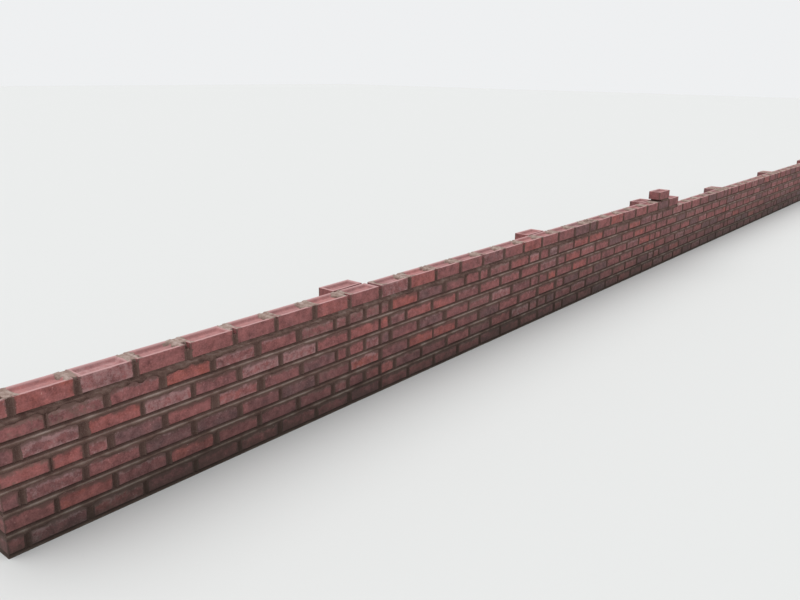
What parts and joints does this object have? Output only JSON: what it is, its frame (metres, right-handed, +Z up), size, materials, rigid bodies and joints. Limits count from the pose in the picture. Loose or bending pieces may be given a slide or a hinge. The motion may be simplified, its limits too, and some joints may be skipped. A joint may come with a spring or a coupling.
{
  "type": "brick garden wall",
  "caption": "Low garden wall, half a brick thick, of frogged red bricks in stretcher bond with piers on its back, stepped down at the far end and left without a coping.",
  "frame": {"origin": "on the ground, in the middle of the wall's length and of its full depth with the piers", "axes": "+X along the wall, from its high end to its stepped-down end; +Y from the fair face towards the piers; +Z up"},
  "size_m": [11.39, 0.217, 0.664],
  "materials": {
    "wall_brickwork": "matt pressed red brick with weathered grey-brown mortar",
    "pier_brickwork": "matt pressed red brick with weathered grey-brown mortar",
    "frogged_brick": "matt pressed red brick, pale on its arrises",
    "mortar": "rough unstruck mortar"
  },
  "bodies": {
    "root": {"next_course_bed": "mortar", "next_course_brick": "frogged_brick", "pier_1": "pier_brickwork", "pier_2": "pier_brickwork", "pier_3": "pier_brickwork", "pier_4": "pier_brickwork", "pier_5": "pier_brickwork", "pier_6": "pier_brickwork", "pier_cap_1": "frogged_brick", "pier_cap_2": "frogged_brick", "pier_cap_3": "frogged_brick", "pier_headers_4": "frogged_brick", "pier_headers_5": "frogged_brick", "pier_headers_6": "frogged_brick", "step_brick": "frogged_brick", "step_joint": "mortar", "top_course_1": "frogged_brick", "top_course_2": "frogged_brick", "top_course_3": "frogged_brick", "top_course_4": "frogged_brick", "top_course_5": "frogged_brick", "top_course_6": "frogged_brick", "top_joints_1": "mortar", "top_joints_2": "mortar", "top_joints_3": "mortar", "top_joints_4": "mortar", "top_joints_5": "mortar", "top_joints_6": "mortar", "wall_bay_1": "wall_brickwork", "wall_bay_2": "wall_brickwork", "wall_bay_3": "wall_brickwork", "wall_bay_4": "wall_brickwork", "wall_bay_5": "wall_brickwork", "wall_bay_6": "wall_brickwork"}
  },
  "joints": []
}
